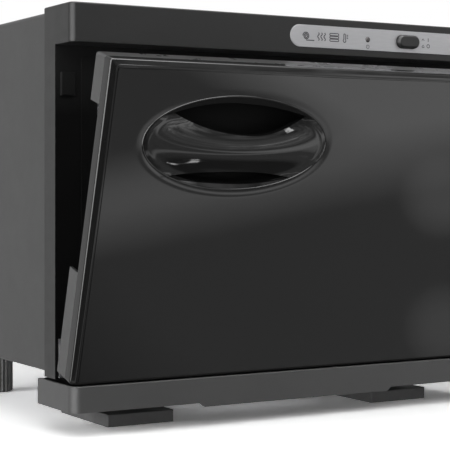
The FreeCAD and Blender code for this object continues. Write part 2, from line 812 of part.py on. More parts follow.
def door_front_shell():
    """Glossy front moulding: a bevelled face with a fine groove along three sides, and a short rim."""
    x, z = (-half_width, half_width), (door_bottom_z, door_top_z)
    outline = rounded(x, z, door_corner_r)
    rim = prism(outline, "Y", bevel_depth, door_seam)
    flat = rounded(shrunk(x, bevel_width), (door_bottom_z + 0.4, door_top_z - bevel_width), 2.0)
    bevel = Part.makeLoft([upright(outline, bevel_depth), upright(flat, 0)], True, True)
    shell = joined([rim, bevel])
    hollow = rounded(shrunk(x, door_wall), shrunk(z, door_wall), 1.5)
    groove_out = rounded(shrunk(x, groove_inset), (0, door_top_z - groove_inset), 2.0)
    inset = groove_inset + groove_width
    groove_in = rounded(shrunk(x, inset), (-1, door_top_z - inset), 1.5)
    groove = prism(groove_out, "Y", -1, groove_depth).cut(prism(groove_in, "Y", -2, 1))
    cuts = [prism(hollow, "Y", door_wall, door_seam + 1), groove, pull_opening(3.8, -1, door_seam)]
    return shell.cut(group(cuts)).cut(group(hinge_slots()))


def door_rear_shell():
    """Satin rear moulding: web, full-width top wall, four side tabs, and the frame of the inner panel."""
    x, z = (-half_width, half_width), (door_bottom_z, door_top_z)
    seam = door_seam
    web_back = seam + 2.0
    walls = prism(rounded(x, z, door_corner_r), "Y", seam, door_back)
    inside = rounded(shrunk(x, door_wall), shrunk(z, door_wall), 1.5)
    walls = walls.cut(prism(inside, "Y", seam - 1, door_back + 1))
    walls = walls.cut(block((-BIG, BIG), (seam - 1, BIG), (lower_tab_top_z, upper_tab_bottom_z)))
    web = prism(inside, "Y", seam, web_back)
    frame_out = rounded(panel_x, panel_z, 3)
    frame_in = rounded(shrunk(panel_x, door_wall), shrunk(panel_z, door_wall), 2)
    panel_frame = prism(frame_out, "Y", web_back - 0.5, door_panel_front)
    panel_frame = panel_frame.cut(prism(frame_in, "Y", 0, BIG))
    pieces = [walls, web, panel_frame]
    for x, z in door_screw_places:
        pieces.append(rod((x, web_back - 0.5, z), (0, 1, 0), 4.5, door_panel_front - web_back + 0.5))
    strike_boss = block((209, 219.5), (web_back - 0.5, 27), (288, 304))
    pieces += [strike_boss, mirrored(strike_boss)]
    shell = joined(pieces)
    foam_window = rounded((-177, 177), (75, 295), 6)
    cuts = [prism(foam_window, "Y", seam - 1, web_back + 0.01), pull_opening(2.6, seam - 1, BIG)]
    for x, z in door_screw_places:
        cuts.append(rod((x, web_back, z), (0, 1, 0), 1.4, 20))
    return shell.cut(group(cuts)).cut(group(hinge_slots()))


def door_inner_panel():
    """Pale lining of the door, with a raised field that faces the cavity."""
    face = door_panel_front + panel_sheet
    top = face + raised_height
    panel = prism(rounded(panel_x, panel_z, 3), "Y", door_panel_front, face)
    raised = prism(rounded(raised_x, raised_z, 10), "Y", door_panel_front, top)
    panel = joined([panel, raised])
    panel = panel.makeFillet(0.8, edges_in(panel, y=(top - 0.1, top + 0.1)))
    hollow = rounded(shrunk(raised_x, panel_sheet), shrunk(raised_z, panel_sheet), 9)
    hollow = prism(hollow, "Y", door_panel_front - 1, top - panel_sheet)
    holes = [rod((x, 10, z), (0, 1, 0), 1.7, 30) for x, z in door_screw_places]
    return panel.cut(group([hollow] + holes))


def door_insulation():
    foam = prism(rounded((-176, 176), (76, 294), 5), "Y", door_seam - 6, door_panel_front - 0.4)
    return foam.cut(pull_opening(1.8, 0, BIG))


def door_gasket():
    """Silicone bulb seal around the inner panel."""
    base = door_panel_front + panel_sheet
    tip = post_front - liner_sheet - 0.4
    outer = prism(rounded(gasket_x, gasket_z, 6), "Y", base, tip)
    inner = rounded(shrunk(gasket_x, gasket_width), shrunk(gasket_z, gasket_width), 4)
    gasket = outer.cut(prism(inner, "Y", 0, BIG))
    return gasket.makeFillet(2.0, edges_in(gasket, y=(tip - 0.1, tip + 0.1)))


def handle_cup():
    """Oval pull: a flanged cup with a waisted bar across it, and finger gaps above and below the bar."""
    a, b = pull_half_length, pull_half_height
    lip = prism(oval(pull_x, pull_z, a, b), "Y", -0.8, 0)
    lip = lip.makeFillet(0.5, edges_in(lip, y=(-0.81, -0.79)))
    cup = prism(oval(pull_x, pull_z, a - 4.2, b - 4.2), "Y", -0.1, pull_depth + 2)
    cup = joined([lip, cup])
    inside = oval(pull_x, pull_z, a - 6.4, b - 6.4)
    cup = cup.cut(prism(inside, "Y", -2, pull_depth))
    bar_axis = (pull_x - a, bar_curve_r - 0.2, bar_centre_z)
    bar_shell = rod(bar_axis, (1, 0, 0), bar_curve_r, 2 * a)
    bar_core = rod(bar_axis, (1, 0, 0), bar_curve_r - bar_thickness, 2 * a)
    bar = bar_shell.cut(bar_core)
    bar = bar.common(prism(oval(pull_x, pull_z, a - 5.5, b - 5.5), "Y", -0.4, 16))
    return joined([cup, bar.cut(group(finger_gaps()))])


def finger_gaps():
    """Round cutters that waist the bar: a deep one above and a shallow one below."""
    upper_centre = upper_gap_bottom_z + upper_gap_r
    lower_centre = lower_gap_top_z - lower_gap_r
    upper = prism(disc(upper_gap_x, upper_centre, upper_gap_r), "Y", -5, pull_depth)
    lower = prism(disc(lower_gap_x, lower_centre, lower_gap_r), "Y", -5, pull_depth)
    return [upper, lower]


def strike_plates():
    plate = block((208.5, 220), (27, 28), (287, 305))
    return group([plate, mirrored(plate)])


def hinge_blocks():
    """Nylon blocks in the door's lower corners; each straddles a bracket arm and turns on its pin."""
    body = block(hinge_block_x, (door_wall, door_seam), (door_bottom_z + door_wall, 62))
    bore = prism(disc(hinge_depth, hinge_z, pin_r + pin_clearance), "X", 190, 222)
    body = body.cut(group([bore] + hinge_slots()))
    return group([body, mirrored(body)])


def door_screws():
    head = door_panel_front + 1.5
    return group([screw((x, head, z), (0, -1, 0), 3.0, 1.4, 7, 1.5) for x, z in door_screw_places])


def drip_tray():
    """Shallow trough under the door, with a lowered grip along the front and two arms behind."""
    w = half_width
    outline = rounded((-w, w), (tray_front, tray_back + tray_corner_r), tray_corner_r)
    body = prism(outline, "Z", tray_bottom_z, tray_top_z)
    body = body.cut(block((-BIG, BIG), (tray_back, BIG), (0, 100)))
    body = body.makeFillet(1.0, edges_in(body, z=(tray_top_z - 0.1, tray_top_z + 0.1)))
    depth = shrunk((tray_front, tray_back), tray_wall)
    hollow = rounded(shrunk((-w, w), tray_wall), depth, tray_corner_r - tray_wall)
    body = body.cut(prism(hollow, "Z", tray_bottom_z + tray_wall, tray_top_z + 1))
    grip = polygon([(-104, tray_bottom_z + 1), (-99, skirt_z), (98, skirt_z), (103, tray_bottom_z + 1)])
    grip = prism(grip, "Y", tray_front, tray_front + 4)
    pieces = [body, grip]
    for x in (-tray_arm_x, tray_arm_x):
        pieces.append(block(around(x, 13), (tray_back - 1, 150), (29.8, 33)))
        pieces.append(block(around(x, 13), (147, 150), (32, 40)))
    return joined(pieces)


def build():
    add_node("front_frame", front_frame())
    add_node("control_plate", control_plate())
    add_node("power_lens", power_lens())
    add_node("power_button", power_button())
    add_node("switch_plunger", switch_plunger())
    add_node("switch_module", switch_module())
    add_node("control_board", control_board())
    add_node("board_components", board_components())
    add_node("board_screws", board_screws())
    add_node("outer_wrap", outer_wrap())
    add_node("bottom_pan", bottom_pan())
    add_node("rear_panel", rear_panel())
    add_node("rear_panel_screws", rear_panel_screws())
    add_node("power_inlet", power_inlet())
    add_node("inlet_pins", inlet_pins())
    add_node("inlet_screws", inlet_screws())
    add_node("liner_wrap", liner_wrap())
    add_node("liner_back", liner_back())
    for side, slab in insulation().items():
        add_node("insulation_" + side, slab)
    add_node("heater_pad", heater_pad())
    add_node("thermostat", thermostat())
    add_node("thermal_fuse", thermal_fuse())
    for name, level in rack_levels.items():
        rail = rack_rail(level)
        add_node("rail_" + name + "_right", rail)
        add_node("rail_" + name + "_left", mirrored(rail))
        add_node(name + "_rack", wire_rack(level))
    add_node("rail_rivets", rail_rivets())
    bracket = hinge_bracket()
    add_node("hinge_bracket_right", bracket)
    add_node("hinge_bracket_left", mirrored(bracket))
    add_node("hinge_pins", hinge_pins())
    add_node("hinge_washers", hinge_washers())
    add_node("hinge_screws", hinge_screws())
    add_node("magnet_catches", magnet_catches())
    for name, make in (("front_foot", front_foot), ("rear_foot", rear_foot), ("tray_runner", tray_runner)):
        piece = make()
        add_node(name + "_right", piece)
        add_node(name + "_left", mirrored(piece))
    add_node("foot_screws", foot_screws())
    add_node("internal_leads", internal_leads())
    add_node("frame_screws", frame_screws())
    add_node("drip_tray", drip_tray())
    door = {
        "door_front_shell": door_front_shell(),
        "door_rear_shell": door_rear_shell(),
        "door_inner_panel": door_inner_panel(),
        "door_insulation": door_insulation(),
        "door_gasket": door_gasket(),
        "handle_cup": handle_cup(),
        "strike_plates": strike_plates(),
        "hinge_blocks": hinge_blocks(),
        "door_screws": door_screws(),
    }
    for name, shape in door.items():
        add_node(name, shape, in_door=True)


os.makedirs("parts", exist_ok=True)
build()
for node_name, node_shape in nodes.items():
    node_shape.exportStep("parts/" + node_name + ".step")
    box = node_shape.BoundBox
    print(
        f"{node_name:22s} solids {len(node_shape.Solids):2d} valid {node_shape.isValid()} "
        f"x {box.XMin:7.1f} {box.XMax:7.1f} y {box.YMin:7.1f} {box.YMax:7.1f} "
        f"z {box.ZMin:6.1f} {box.ZMax:6.1f}"
    )
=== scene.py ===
"""Hot towel cabinet: its visible materials, the pieces that need finer shape than the frame gives, the
light and the camera."""

import json
import math

import bmesh
import bpy
from mathutils import Matrix, Vector


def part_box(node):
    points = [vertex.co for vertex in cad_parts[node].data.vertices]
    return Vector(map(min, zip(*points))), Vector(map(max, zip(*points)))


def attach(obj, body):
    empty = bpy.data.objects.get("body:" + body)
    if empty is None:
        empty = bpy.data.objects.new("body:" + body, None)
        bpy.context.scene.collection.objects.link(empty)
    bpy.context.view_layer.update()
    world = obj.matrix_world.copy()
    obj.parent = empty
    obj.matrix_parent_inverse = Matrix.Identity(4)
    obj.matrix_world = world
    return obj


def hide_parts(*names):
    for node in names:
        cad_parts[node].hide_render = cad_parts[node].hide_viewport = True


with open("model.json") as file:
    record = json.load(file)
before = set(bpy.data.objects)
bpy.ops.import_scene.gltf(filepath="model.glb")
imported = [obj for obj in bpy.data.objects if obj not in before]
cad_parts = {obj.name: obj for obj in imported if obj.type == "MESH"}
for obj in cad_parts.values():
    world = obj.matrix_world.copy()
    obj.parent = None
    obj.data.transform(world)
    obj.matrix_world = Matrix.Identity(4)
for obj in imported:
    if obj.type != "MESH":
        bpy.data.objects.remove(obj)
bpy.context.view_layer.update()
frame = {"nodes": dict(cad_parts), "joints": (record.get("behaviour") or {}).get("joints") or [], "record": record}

MM = 0.001
nodes = frame["nodes"]
bar_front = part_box("front_frame")[0].y
hinge = next(j for j in frame["joints"] if j["name"] == "door_hinge")
hinge_point = Vector(hinge["pos_m"])
door_ajar = math.radians(-hinge["range_deg"][0])

# Door, drawn closed: X, depth behind the top bar's front, height, in millimetres.
DOOR_HALF = 225.0
DOOR_BOTTOM = 45.5
DOOR_TOP = 321.5
DOOR_SEAM = 12.0
DOOR_WALL = 2.5
BEVEL_WIDTH = 5.0
BEVEL_DEPTH = 1.6
EDGE_R = 1.8
BORDER_ARC_STEPS = 6
EDGE_STEPS = (220, 136)
RECESS_TOP = 329.5

# The two gaps that let the hinge arms through the door's lower edge.
HINGE_GAP_X = (205.7, 210.3)
HINGE_GAP_TOP = 54.5
HINGE_GAP_DEPTH = 1.3

# The groove around the face, the pull and its bar.
GROOVE_FROM = 6.2
GROOVE_TO = 7.3
GROOVE_DEPTH = 0.6
PULL_X = -98.5
PULL_Z = 254.5
PULL_HALF_LENGTH = 89.75
PULL_HALF_HEIGHT = 41.0
PULL_DEPTH = 20.0
SINK_WIDTH = 7.0
SINK_DEPTH = 0.35
BAR_CREST_Z = 246.0
BAR_CREST_RISE = 8.0
BAR_BOW = 2.2
BAR_CURVE_R = 40.0

# Finger openings, edge by edge from the lowest: where its highest or lowest point is (X, height), the
# radius of its arc to the left and to the right of that point, and 1 if it arches up or -1 if it hangs.
OPENING_EDGES = (
    (-92.0, 218.8, 440.0, 200.0, -1),
    (-95.0, 229.8, 590.0, 300.0, 1),
    (-85.5, 261.0, 168.6, 82.7, -1),
    (-105.9, 288.8, 169.8, 283.5, 1),
)


# ---------------------------------------------------------------- mesh helpers


def piece(name, verts, faces, material, body, smooth_deg=32.0):
    """A mesh object from millimetre points in the row frame, riding on a body."""
    mesh = bpy.data.meshes.new(name)
    mesh.from_pydata([Vector(v) * MM for v in verts], [], faces)
    mesh.validate()
    mesh.polygons.foreach_set("use_smooth", [True] * len(mesh.polygons))
    mesh.set_sharp_from_angle(angle=math.radians(smooth_deg))
    mesh.materials.append(material)
    thing = bpy.data.objects.new(name, mesh)
    bpy.context.scene.collection.objects.link(thing)
    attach(thing, body)
    return thing


def from_closed_door(points):
    """Closed-door points (depth from the bar's front) to row-frame millimetres with the door ajar."""
    centre = hinge_point / MM
    turn = Matrix.Rotation(door_ajar, 3, "X")
    front = bar_front / MM
    return [tuple(turn @ (Vector((x, y + front, z)) - centre) + centre) for x, y, z in points]


def ring_faces(ring_count, size, start=0):
    """Quads between successive closed rings of the same size."""
    faces = []
    for ring in range(ring_count - 1):
        for i in range(size):
            j = (i + 1) % size
            a = start + ring * size
            b = a + size
            faces.append((a + i, a + j, b + j, b + i))
    return faces


def rounded_rectangle(left, right, low, high, radius, counts):
    """Closed outline with arcs at the corners, as (u, v) pairs, anticlockwise.

    Counts are the steps along the level sides and along the upright sides.
    """
    points = []
    corners = [
        (right - radius, low + radius, -90, counts[1]),
        (right - radius, high - radius, 0, counts[0]),
        (left + radius, high - radius, 90, counts[1]),
        (left + radius, low + radius, 180, counts[0]),
    ]
    for index, (cu, cv, start_deg, count) in enumerate(corners):
        for k in range(BORDER_ARC_STEPS + 1):
            angle = math.radians(start_deg + 90.0 * k / BORDER_ARC_STEPS)
            points.append((cu + radius * math.cos(angle), cv + radius * math.sin(angle)))
        nu, nv, next_deg, _ = corners[(index + 1) % 4]
        last = points[-1]
        angle = math.radians(next_deg)
        following = (nu + radius * math.cos(angle), nv + radius * math.sin(angle))
        for k in range(1, count):
            t = k / count
            points.append((last[0] + t * (following[0] - last[0]), last[1] + t * (following[1] - last[1])))
    return points


def weld(thing, distance_mm):
    """Join the vertices that lie on each other, so that the skin shades as one surface."""
    work = bmesh.new()
    work.from_mesh(thing.data)
    bmesh.ops.remove_doubles(work, verts=work.verts, dist=distance_mm * MM)
    bmesh.ops.recalc_face_normals(work, faces=work.faces)
    work.to_mesh(thing.data)
    work.free()
    thing.data.polygons.foreach_set("use_smooth", [True] * len(thing.data.polygons))
    thing.data.set_sharp_from_angle(angle=math.radians(40.0))


# ---------------------------------------------------------------- materials


def new_material(name, colour, roughness, metallic=0.0):
    mat = bpy.data.materials.new(name)
    mat.use_nodes = True
    tree = mat.node_tree
    shader = tree.nodes["Principled BSDF"]
    shader.inputs["Base Color"].default_value = (*colour, 1.0)
    shader.inputs["Roughness"].default_value = roughness
    shader.inputs["Metallic"].default_value = metallic
    return mat, tree, shader


def noise_of(tree, vector, scale, detail, stretch, roughness=0.5):
    """Noise over a vector, stretched along its axes."""
    mapping = tree.nodes.new("ShaderNodeMapping")
    mapping.inputs["Scale"].default_value = stretch
    texture = tree.nodes.new("ShaderNodeTexNoise")
    texture.inputs["Scale"].default_value = scale
    texture.inputs["Detail"].default_value = detail
    texture.inputs["Roughness"].default_value = roughness
    tree.links.new(vector, mapping.inputs["Vector"])
    tree.links.new(mapping.outputs["Vector"], texture.inputs["Vector"])
    return texture.outputs["Fac"]


def noise(tree, scale, detail=3.0, stretch=(1.0, 1.0, 1.0), roughness=0.5):
    """Noise in the piece's own coordinates; scale is features per metre."""
    coords = tree.nodes.new("ShaderNodeTexCoord")
    return noise_of(tree, coords.outputs["Object"], scale, detail, stretch, roughness)


def cells(tree, scale, feature="F1"):
    coords = tree.nodes.new("ShaderNodeTexCoord")
    texture = tree.nodes.new("ShaderNodeTexVoronoi")
    texture.feature = feature
    texture.inputs["Scale"].default_value = scale
    tree.links.new(coords.outputs["Object"], texture.inputs["Vector"])
    return texture


def spread(tree, value, low, high, from_low=0.3, from_high=0.7):
    """Map a 0..1 value to a range."""
    node = tree.nodes.new("ShaderNodeMapRange")
    node.inputs["From Min"].default_value = from_low
    node.inputs["From Max"].default_value = from_high
    node.inputs["To Min"].default_value = low
    node.inputs["To Max"].default_value = high
    tree.links.new(value, node.inputs["Value"])
    return node.outputs["Result"]


def combine(tree, operation, first, second):
    node = tree.nodes.new("ShaderNodeMath")
    node.operation = operation
    for index, value in enumerate((first, second)):
        if isinstance(value, (int, float)):
            node.inputs[index].default_value = value
        else:
            tree.links.new(value, node.inputs[index])
    return node.outputs["Value"]


def vary_colour(tree, shader, value, dark, light):
    ramp = tree.nodes.new("ShaderNodeValToRGB")
    ramp.color_ramp.elements[0].position = 0.3
    ramp.color_ramp.elements[0].color = (*dark, 1.0)
    ramp.color_ramp.elements[1].position = 0.7
    ramp.color_ramp.elements[1].color = (*light, 1.0)
    tree.links.new(value, ramp.inputs["Fac"])
    tree.links.new(ramp.outputs["Color"], shader.inputs["Base Color"])


def vary_gloss(tree, shader, value, low, high, from_low=0.3, from_high=0.7):
    """Roughness from a value, between a low and a high one."""
    tree.links.new(spread(tree, value, low, high, from_low, from_high), shader.inputs["Roughness"])


def grain(tree, shader, value, strength, distance, edge_radius=0.0):
    """Bump from a value, over edges softened by a small bevel."""
    bump = tree.nodes.new("ShaderNodeBump")
    bump.inputs["Strength"].default_value = strength
    bump.inputs["Distance"].default_value = distance
    tree.links.new(value, bump.inputs["Height"])
    if edge_radius:
        bevel = tree.nodes.new("ShaderNodeBevel")
        bevel.samples = 4
        bevel.inputs["Radius"].default_value = edge_radius
        tree.links.new(bevel.outputs["Normal"], bump.inputs["Normal"])
    tree.links.new(bump.outputs["Normal"], shader.inputs["Normal"])


def grey(value, tint=0.0):
    return (value, value, value * (1.0 + tint))


def moulded(name, level, roughness, texture_scale=2600.0, shine=0.3):
    """Satin moulded plastic: fine spark-eroded grain, faint mottling, slightly uneven gloss."""
    mat, tree, shader = new_material(name, grey(level), roughness)
    shader.inputs["Specular IOR Level"].default_value = shine
    vary_colour(tree, shader, noise(tree, 9.0, 4.0), grey(level * 0.93), grey(level * 1.07))
    vary_gloss(tree, shader, noise(tree, 60.0, 3.0), roughness - 0.04, roughness + 0.04)
    grain(tree, shader, noise(tree, texture_scale, 2.0), 0.35, 0.00004, 0.0004)
    return mat


def glossy(name, level, roughness=0.03):
    """High-gloss black moulding: near-mirror skin with a very faint long ripple and fine hairlines."""
    mat, tree, shader = new_material(name, grey(level), roughness)
    vary_colour(tree, shader, noise(tree, 6.0), grey(level * 0.94), grey(level * 1.06))
    hairlines = noise(tree, 260.0, 5.0, (0.06, 1.0, 1.0), 0.7)
    vary_gloss(tree, shader, hairlines, roughness * 0.7, roughness * 1.8, 0.45, 0.75)
    grain(tree, shader, noise(tree, 14.0, 1.0), 0.12, 0.00025)
    return mat


def powder_coat(name, level):
    """Fine powder coat over folded steel: orange peel and a slight fleck."""
    mat, tree, shader = new_material(name, grey(level), 0.46)
    shader.inputs["Specular IOR Level"].default_value = 0.35
    vary_colour(tree, shader, noise(tree, 1800.0, 2.0), grey(level * 0.90), grey(level * 1.10))
    vary_gloss(tree, shader, noise(tree, 25.0, 3.0), 0.42, 0.50)
    grain(tree, shader, noise(tree, 750.0, 3.0), 0.30, 0.00008, 0.0005)
    return mat


def brushed(name, level, roughness, stretch, metallic=1.0, tint=0.02):
    """Brushed or rolled metal; stretch is under 1 along the brushing."""
    mat, tree, shader = new_material(name, grey(level, tint), roughness, metallic)
    lines = noise(tree, 1500.0, 4.0, stretch, 0.6)
    vary_colour(tree, shader, lines, grey(level * 0.92, tint), grey(level * 1.04, tint))
    vary_gloss(tree, shader, lines, roughness - 0.03, roughness + 0.04)
    grain(tree, shader, lines, 0.10, 0.00003, 0.0003)
    return mat


def zinc(name, level, scale=160.0):
    """Zinc-plated steel with a faint spangle."""
    mat, tree, shader = new_material(name, grey(level, 0.03), 0.34, 1.0)
    spangle = cells(tree, scale)
    vary_colour(tree, shader, spangle.outputs["Color"], grey(level * 0.86, 0.04), grey(level * 1.03, 0.02))
    vary_gloss(tree, shader, noise(tree, 90.0), 0.28, 0.42)
    grain(tree, shader, noise(tree, 900.0), 0.08, 0.00003, 0.0002)
    return mat


def chrome(name):
    mat, tree, shader = new_material(name, grey(0.78, 0.01), 0.07, 1.0)
    vary_colour(tree, shader, noise(tree, 30.0), grey(0.74, 0.02), grey(0.81, 0.01))
    vary_gloss(tree, shader, noise(tree, 220.0, 4.0), 0.05, 0.16)
    grain(tree, shader, noise(tree, 500.0), 0.05, 0.00002)
    return mat


def rubber(name, level, roughness=0.62):
    mat, tree, shader = new_material(name, grey(level), roughness)
    vary_colour(tree, shader, noise(tree, 45.0, 5.0), grey(level * 0.85), grey(level * 1.15))
    vary_gloss(tree, shader, noise(tree, 300.0), roughness - 0.06, roughness + 0.08)
    grain(tree, shader, noise(tree, 1400.0, 4.0), 0.30, 0.00006, 0.0004)
    return mat


def tinted(name, dark, light, roughness, scale, metallic=0.0, bump=0.2, distance=0.00005):
    """A coloured surface with visible grain, for the small and the inner pieces."""
    mat, tree, shader = new_material(name, light, roughness, metallic)
    texture = noise(tree, scale, 4.0)
    vary_colour(tree, shader, texture, dark, light)
    vary_gloss(tree, shader, noise(tree, scale * 0.4), roughness - 0.05, roughness + 0.08)
    grain(tree, shader, texture, bump, distance, 0.0002)
    return mat


def circuit_board_material():
    mat, tree, shader = new_material("circuit_board", (0.02, 0.12, 0.05), 0.35)
    tracks = cells(tree, 260.0, "DISTANCE_TO_EDGE")
    edges = spread(tree, tracks.outputs["Distance"], 0.2, 0.8, 0.0, 0.12)
    vary_colour(tree, shader, edges, (0.03, 0.2, 0.08), (0.015, 0.09, 0.04))
    grain(tree, shader, tracks.outputs["Distance"], 0.2, 0.00008)
    return mat


def glass_wool_material():
    mat, tree, shader = new_material("glass_wool", (0.75, 0.66, 0.35), 0.9)
    fibres = noise(tree, 500.0, 6.0, (1.0, 0.15, 1.0), 0.75)
    vary_colour(tree, shader, fibres, (0.50, 0.42, 0.20), (0.85, 0.78, 0.48))
    grain(tree, shader, fibres, 0.9, 0.0006)
    return mat


def painted_shade_jamb_material():
    """Painted shade for the recess behind the door: near black, a little paler towards the top bar, where more
    light falls in.
    """
    mat = moulded("painted_shade_jamb", 0.03, 0.6, shine=0.05)
    tree = mat.node_tree
    shader = tree.nodes["Principled BSDF"]
    coords = tree.nodes.new("ShaderNodeTexCoord")
    axes = tree.nodes.new("ShaderNodeSeparateXYZ")
    tree.links.new(coords.outputs["Object"], axes.inputs["Vector"])
    scaled = tree.nodes.new("ShaderNodeVectorMath")
    scaled.operation = "SCALE"
    tree.links.new(shader.inputs["Base Color"].links[0].from_socket, scaled.inputs[0])
    # The painted shade lightens with height towards the top bar.
    tree.links.new(spread(tree, axes.outputs["Z"], 0.06, 0.9, 0.270, 0.325), scaled.inputs["Scale"])
    tree.links.new(scaled.outputs["Vector"], shader.inputs["Base Color"])
    return mat


def paint_top_shade(mesh, mat):
    """Give the faces that look up a material of their own: a darker, glossier copy of the door's satin, painted
    shade on the top.
    """
    mesh.materials.append(mat)
    for polygon in mesh.polygons:
        if polygon.normal.z > 0.9:
            polygon.material_index = 1


def paint_recess_shade(mesh, mat, depths, reach_x):
    """Give the faces under the top bar, between two depths and inside a half width, a material: here the painted
    shade of the recess behind the door.
    """
    mesh.materials.append(mat)
    for polygon in mesh.polygons:
        centre = polygon.center / MM
        depth = centre.y - bar_front / MM
        if depths[0] < depth < depths[1] and abs(centre.x) < reach_x and centre.z < RECESS_TOP:
            polygon.material_index = 1


materials = {
    "frame_plastic": moulded("frame_plastic", 0.027, 0.40),
    "plate_silver": brushed("plate_silver", 0.47, 0.42, (0.04, 1.0, 1.0), metallic=0.55, tint=0.03),
    "lens_plastic": tinted("lens_plastic", (0.10, 0.09, 0.09), (0.16, 0.15, 0.15), 0.18, 300.0),
    "button_plastic": moulded("button_plastic", 0.040, 0.38, 3200.0),
    "white_nylon": tinted("white_nylon", (0.66, 0.65, 0.60), (0.76, 0.75, 0.70), 0.45, 400.0),
    "black_plastic": moulded("black_plastic", 0.022, 0.42, 3000.0),
    "circuit_board": circuit_board_material(),
    "component_plastic": tinted("component_plastic", (0.03, 0.03, 0.05), (0.06, 0.06, 0.10), 0.35, 600.0),
    "wrap_paint": powder_coat("wrap_paint", 0.056),
    "galvanised_steel": zinc("galvanised_steel", 0.55),
    "screw_steel": zinc("screw_steel", 0.60, 900.0),
    "brass": tinted("brass", (0.60, 0.42, 0.16), (0.78, 0.58, 0.26), 0.28, 700.0, metallic=1.0),
    "liner_aluminium": brushed("liner_aluminium", 0.72, 0.30, (1.0, 0.03, 1.0)),
    "glass_wool": glass_wool_material(),
    "heater_foil": tinted("heater_foil", grey(0.62), grey(0.80), 0.22, 90.0, 1.0, 0.6, 0.0004),
    "thermostat_metal": zinc("thermostat_metal", 0.66, 500.0),
    "foot_rubber": rubber("foot_rubber", 0.108),
    "lead_rubber": tinted("lead_rubber", (0.07, 0.03, 0.015), (0.11, 0.05, 0.02), 0.45, 800.0),
    "door_gloss": glossy("door_gloss", 0.014),
    "door_satin": moulded("door_satin", 0.095, 0.42),
    "pull_gloss": glossy("pull_gloss", 0.012, 0.025),
    "gasket_rubber": rubber("gasket_rubber", 0.16, 0.55),
    "tray_plastic": moulded("tray_plastic", 0.095, 0.42),
    "rack_chrome": chrome("rack_chrome"),
}
# Painted shade: a near-black copy of the pull's plastic for the hollow behind the pull.
hollow_painted_shade = moulded("hollow_painted_shade", 0.003, 0.6, shine=0.1)
# Painted shade: a darker, glossier copy of the door satin for the door's upward faces.
door_top_painted_shade = moulded("door_top_painted_shade", 0.035, 0.3, shine=0.35)
plate_ink = tinted("plate_ink", (0.045, 0.045, 0.05), (0.07, 0.07, 0.075), 0.5, 1500.0)

for part in frame["record"]["subparts"]:
    mesh = nodes[part["node"]].data
    mesh.materials.clear()
    mesh.materials.append(materials[part["material_slot"]])
    mesh.set_sharp_from_angle(angle=math.radians(30.0))
# Painted shade: black painted on the front frame's jamb, the liner's flange and the magnet catches, where they lie
# in shade behind the door.
painted_shade_jamb = painted_shade_jamb_material()
paint_recess_shade(nodes["front_frame"].data, painted_shade_jamb, (31.0, 60.0), 223.6)
paint_recess_shade(nodes["liner_wrap"].data, painted_shade_jamb, (25.0, 32.6), 400.0)
paint_top_shade(nodes["door_rear_shell"].data, door_top_painted_shade)
paint_recess_shade(nodes["magnet_catches"].data, painted_shade_jamb, (20.0, 40.0), 400.0)


# ---------------------------------------------------------------- door face


def door_border(inset, depth):
    """One outline ring of the door, inset from its left, top and right edges, all at one depth.

    Behind the face, two gaps in the lower edge let the hinge arms through.
    """
    corner = max(0.8, 2.5 - 0.2 * inset)
    outline = rounded_rectangle(
        -DOOR_HALF + inset, DOOR_HALF - inset, DOOR_BOTTOM, DOOR_TOP - inset, corner, EDGE_STEPS
    )
    ring = [(x, depth, z) for x, z in outline]
    if inset <= DOOR_WALL:
        near, far = HINGE_GAP_X
        gap_z = HINGE_GAP_TOP if depth > HINGE_GAP_DEPTH else DOOR_BOTTOM
        # The lower edge's points that make one gap, counted from its right end.
        gap = (
            (9, near - 0.05, DOOR_BOTTOM),
            (8, near, gap_z),
            (7, far, gap_z),
            (6, far + 0.05, DOOR_BOTTOM),
        )
        for place, x, z in gap:
            ring[-place] = (x, depth, z)
            ring[place - EDGE_STEPS[0]] = (-x, depth, z)
    return ring


def oval_point(direction_x, direction_z, margin):
    """The point of the pull's outline, grown by a margin, in a direction from its centre."""
    a = PULL_HALF_LENGTH + margin
    b = PULL_HALF_HEIGHT + margin
    reach = 1.0 / math.hypot(direction_x / a, direction_z / b)
    return PULL_X + direction_x * reach, PULL_Z + direction_z * reach


def sink(margin, uphill):
    """Dip of the face towards the pull, deepest below it; uphill is 1 above the pull, -1 below."""
    depth = SINK_DEPTH * (0.55 - 0.45 * uphill)
    return depth * max(0.0, 1.0 - margin / SINK_WIDTH) ** 2


def around_pull(directions, margin, depth_of):
    """A ring of the door's face at a margin outside the pull, one point per direction."""
    ring = []
    for dx, dz in directions:
        x, z = oval_point(dx, dz, margin)
        uphill = (z - PULL_Z) / (PULL_HALF_HEIGHT + margin)
        ring.append((x, depth_of(margin, uphill), z))
    return ring


